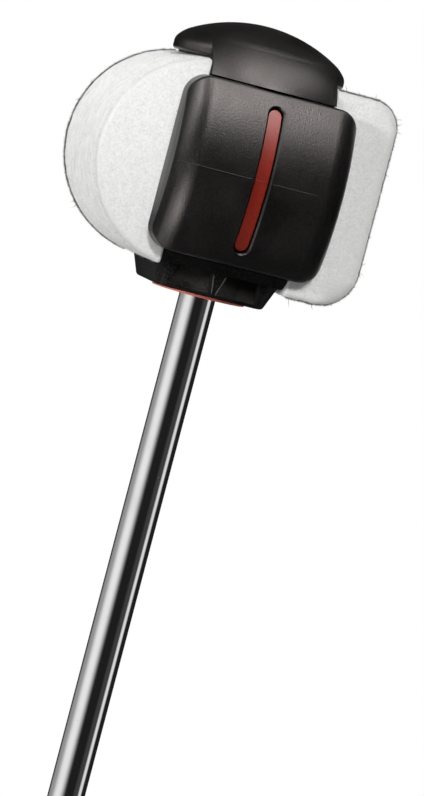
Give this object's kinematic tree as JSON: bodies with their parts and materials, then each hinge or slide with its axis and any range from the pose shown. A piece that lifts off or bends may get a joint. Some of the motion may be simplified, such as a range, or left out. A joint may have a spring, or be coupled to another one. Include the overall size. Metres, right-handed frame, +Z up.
{
  "type": "bass drum beater",
  "caption": "Bass drum beater: a chromed shaft with a black moulded head that holds a rounded felt and a flat felt, with pull-off side covers over trim weights.",
  "frame": {"origin": "on the shaft's axis, at the middle of the length a pedal's clamp holds, 20 mm above the shaft's lower end", "axes": "+Z up the shaft to the head; the rounded felt faces -X and the flat felt +X; the side covers face -Y and +Y"},
  "size_m": [0.0626, 0.057, 0.2245],
  "materials": {
    "chrome_shaft": "polished chrome plate",
    "plain_steel": "plain zinc-plated steel",
    "core_plastic": "glass-filled moulding, as moulded",
    "black_plastic": "black moulding with a fine spark-eroded grain",
    "red_plastic": "red moulding, satin",
    "white_felt": "dense white wool felt, fuzzy",
    "backing_board": "plain hardboard",
    "foam_sheet": "thin black foam rubber"
  },
  "bodies": {
    "head": {"beater_shaft": "chrome_shaft", "shaft_cross_pin": "plain_steel", "core_block": "core_plastic", "shaft_bush": "red_plastic", "top_cap": "black_plastic", "bottom_skirt": "black_plastic", "cap_screws": "plain_steel", "skirt_screws": "plain_steel", "dome_felt": "white_felt", "flat_felt": "white_felt", "dome_backing_plate": "backing_board", "flat_backing_plate": "backing_board"},
    "front_cover_set": {"front_cover": "black_plastic", "front_weight_carrier": "red_plastic", "front_left_weight": "plain_steel", "front_right_weight": "plain_steel", "front_rattle_pad": "foam_sheet"},
    "rear_cover_set": {"rear_cover": "black_plastic", "rear_weight_carrier": "red_plastic", "rear_left_weight": "plain_steel", "rear_right_weight": "plain_steel", "rear_rattle_pad": "foam_sheet"}
  },
  "joints": [
    {"name": "front_cover_slide", "type": "slide", "parent": "head", "child": "front_cover_set", "axis": [0, -1, 0], "range_m": [0, 0.03]},
    {"name": "rear_cover_slide", "type": "slide", "parent": "head", "child": "rear_cover_set", "axis": [0, 1, 0], "range_m": [0, 0.03]}
  ]
}
